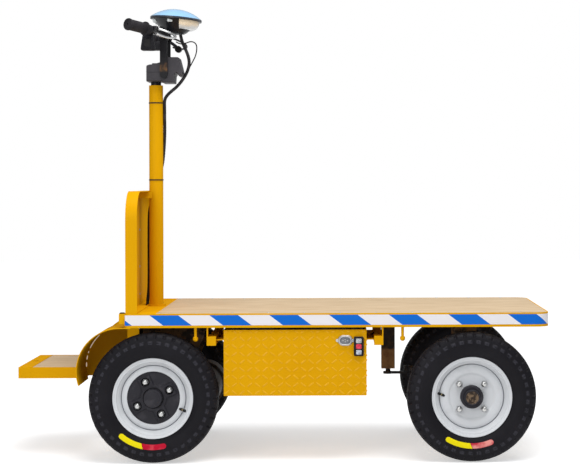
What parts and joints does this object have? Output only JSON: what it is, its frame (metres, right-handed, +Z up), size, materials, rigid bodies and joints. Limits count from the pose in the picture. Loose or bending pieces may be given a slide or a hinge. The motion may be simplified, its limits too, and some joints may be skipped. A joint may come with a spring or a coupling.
{
  "type": "electric tow tractor",
  "caption": "Flat-deck electric tow tractor: a stand-on platform truck with handlebar steering, rear step, side battery box and pneumatic wheels.",
  "frame": {"origin": "on the floor under the centre of the machine's bounding box", "axes": "+X the way it drives, +Y its left side, +Z up"},
  "size_m": [1.9, 0.8, 1.6341],
  "materials": {
    "yellow_paint": "gloss",
    "plywood": "matte",
    "black_paint": "satin",
    "zinc_steel": "satin",
    "dark_steel": "satin",
    "rubber": "matte",
    "black_plastic": "matte",
    "lamp_shell": "gloss",
    "lamp_lens": "gloss",
    "silver_paint": "satin",
    "tyre": "matte"
  },
  "bodies": {
    "chassis": {"deck_frame": "yellow_paint", "deck_board": "plywood", "lashing_hooks": "yellow_paint", "guard_panel": "yellow_paint", "column_tube": "yellow_paint", "step_frame": "yellow_paint", "step_board": "plywood", "tow_rail": "yellow_paint", "fenders": "yellow_paint", "battery_box": "yellow_paint", "battery_pack": "black_plastic", "box_rails": "yellow_paint", "charge_socket": "zinc_steel", "breaker_switch": "black_plastic", "rear_axle": "dark_steel", "drive_motor": "dark_steel", "axle_hangers": "yellow_paint", "front_axle": "yellow_paint", "relay_housing": "yellow_paint", "cable_loom": "rubber"},
    "steering": {"steering_stem": "black_paint", "handlebar": "black_paint", "grips": "rubber", "risers": "black_paint", "control_pod": "black_plastic", "brake_levers": "zinc_steel", "switch_pods": "black_plastic", "headlight_shell": "lamp_shell", "headlight_lens": "lamp_lens"},
    "drag_link": {"drag_link": "dark_steel"},
    "relay": {"relay_shaft": "dark_steel"},
    "tie_rod_left": {"tie_rod_left": "dark_steel"},
    "knuckle_left": {"knuckle_left": "dark_steel"},
    "wheel_front_left": {"tyre_front_left": "tyre", "rim_front_left": "silver_paint", "hub_front_left": "black_paint"},
    "wheel_rear_left": {"tyre_rear_left": "tyre", "rim_rear_left": "silver_paint", "hub_rear_left": "black_paint"},
    "tie_rod_right": {"tie_rod_right": "dark_steel"},
    "knuckle_right": {"knuckle_right": "dark_steel"},
    "wheel_front_right": {"tyre_front_right": "tyre", "rim_front_right": "silver_paint", "hub_front_right": "black_paint"},
    "wheel_rear_right": {"tyre_rear_right": "tyre", "rim_rear_right": "silver_paint", "hub_rear_right": "black_paint"}
  },
  "joints": [
    {"name": "steer", "type": "hinge", "parent": "chassis", "child": "steering", "pos_m": [-0.476, 0, 1], "axis": [0, 0, 1], "range_deg": [-30, 30], "deforming": ["cable_loom"]},
    {"name": "drag_link_eye", "type": "hinge", "parent": "steering", "child": "drag_link", "pos_m": [-0.476, 0.085, 0.416], "axis": [0, 0, 1], "range_deg": [-30, 30]},
    {"name": "relay_turn", "type": "hinge", "parent": "chassis", "child": "relay", "pos_m": [0.39, 0, 0.35], "axis": [0, 0, 1], "range_deg": [-30, 30]},
    {"name": "tie_rod_left_eye", "type": "hinge", "parent": "relay", "child": "tie_rod_left", "pos_m": [0.46, 0, 0.282], "axis": [0, 0, 1], "range_deg": [-30, 30]},
    {"name": "tie_rod_right_eye", "type": "hinge", "parent": "relay", "child": "tie_rod_right", "pos_m": [0.46, 0, 0.293], "axis": [0, 0, 1], "range_deg": [-30, 30]},
    {"name": "kingpin_left", "type": "hinge", "parent": "chassis", "child": "knuckle_left", "pos_m": [0.675, 0.27, 0.22], "axis": [0, 0, 1], "range_deg": [-30, 30]},
    {"name": "kingpin_right", "type": "hinge", "parent": "chassis", "child": "knuckle_right", "pos_m": [0.675, -0.27, 0.22], "axis": [0, 0, 1], "range_deg": [-30, 30]},
    {"name": "spin_front_left", "type": "hinge", "parent": "knuckle_left", "child": "wheel_front_left", "pos_m": [0.675, 0.345, 0.2285], "axis": [0, 1, 0], "continuous": true},
    {"name": "spin_front_right", "type": "hinge", "parent": "knuckle_right", "child": "wheel_front_right", "pos_m": [0.675, -0.345, 0.2285], "axis": [0, 1, 0], "continuous": true},
    {"name": "spin_rear_left", "type": "hinge", "parent": "chassis", "child": "wheel_rear_left", "pos_m": [-0.445, 0.345, 0.2285], "axis": [0, 1, 0], "continuous": true},
    {"name": "spin_rear_right", "type": "hinge", "parent": "chassis", "child": "wheel_rear_right", "pos_m": [-0.445, -0.345, 0.2285], "axis": [0, 1, 0], "continuous": true}
  ],
  "couplings": [
    {"joint": "drag_link_eye", "follows": "steer", "ratio": -1},
    {"joint": "relay_turn", "follows": "steer", "ratio": 1},
    {"joint": "tie_rod_left_eye", "follows": "steer", "ratio": -1},
    {"joint": "tie_rod_right_eye", "follows": "steer", "ratio": -1},
    {"joint": "kingpin_left", "follows": "steer", "ratio": 1},
    {"joint": "kingpin_right", "follows": "steer", "ratio": 1}
  ]
}
